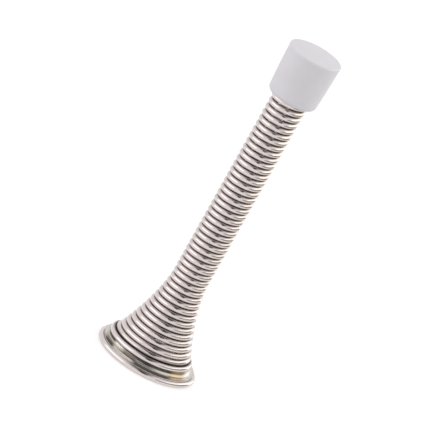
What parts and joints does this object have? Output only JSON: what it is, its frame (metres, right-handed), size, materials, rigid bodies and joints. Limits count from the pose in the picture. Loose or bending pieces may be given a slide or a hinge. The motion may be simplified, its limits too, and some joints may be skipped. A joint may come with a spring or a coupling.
{
  "type": "spring door stop",
  "caption": "Flexible door stop: a close-wound wire spring that flares out to a screw-fixed base plate and carries a white rubber bumper tip.",
  "frame": {"origin": "centre of the base on the mounting plane, where the end coil and the flat of the base plate lie on the wall", "axes": "+Z along the spring's axis from the wall to the rubber tip; the wire crosses the plate's rim on the +Y side"},
  "size_m": [0.0234, 0.0234, 0.08],
  "materials": {
    "nickel_wire": "satin nickel plating on spring wire",
    "plated_sheet": "yellow zinc plating on pressed sheet",
    "white_rubber": "matte moulded rubber"
  },
  "bodies": {
    "root": {"spring": "nickel_wire", "base_plate": "plated_sheet", "bumper_tip": "white_rubber"}
  },
  "joints": []
}
